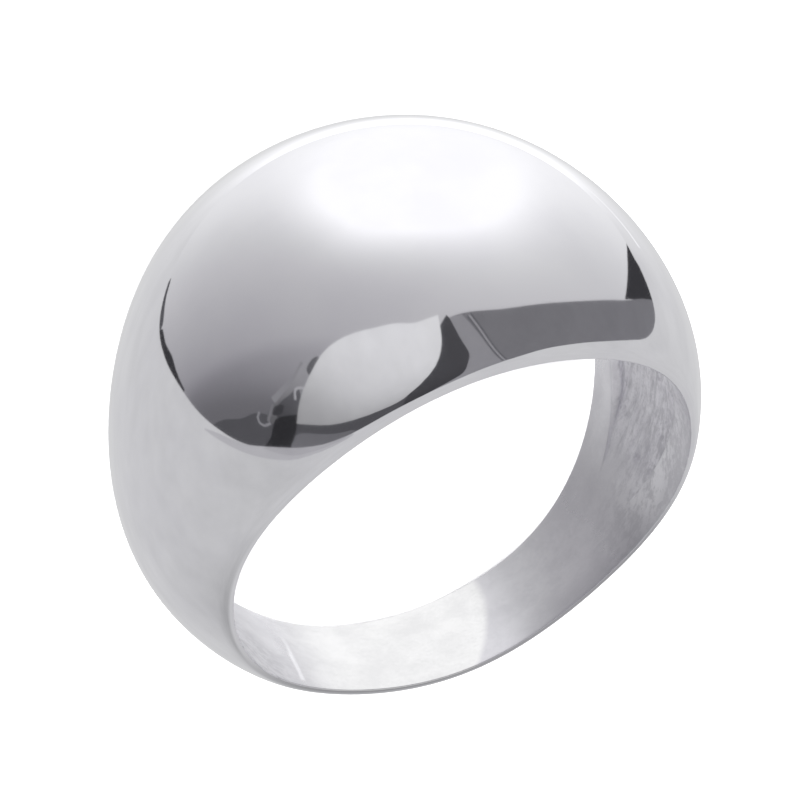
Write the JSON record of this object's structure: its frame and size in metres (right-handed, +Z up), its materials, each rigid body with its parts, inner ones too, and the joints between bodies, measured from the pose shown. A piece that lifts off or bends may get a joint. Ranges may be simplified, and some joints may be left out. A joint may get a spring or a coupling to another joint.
{
  "type": "silver dome ring",
  "caption": "One-piece polished silver finger ring with a high hollow-backed dome that tapers into a slim shank, lying on its flat side.",
  "frame": {"origin": "on the surface that the ring lies on, under the middle of its bounding box", "axes": "+Z up from the side that the ring lies on, -Y towards the dome's crest, X across the ring, which is the same on both sides of X = 0"},
  "size_m": [0.0218, 0.022, 0.0152],
  "materials": {
    "silver": "mirror polished outside, satin inside, rough cast in the hollow"
  },
  "bodies": {
    "root": {"ring": "silver"}
  },
  "joints": []
}
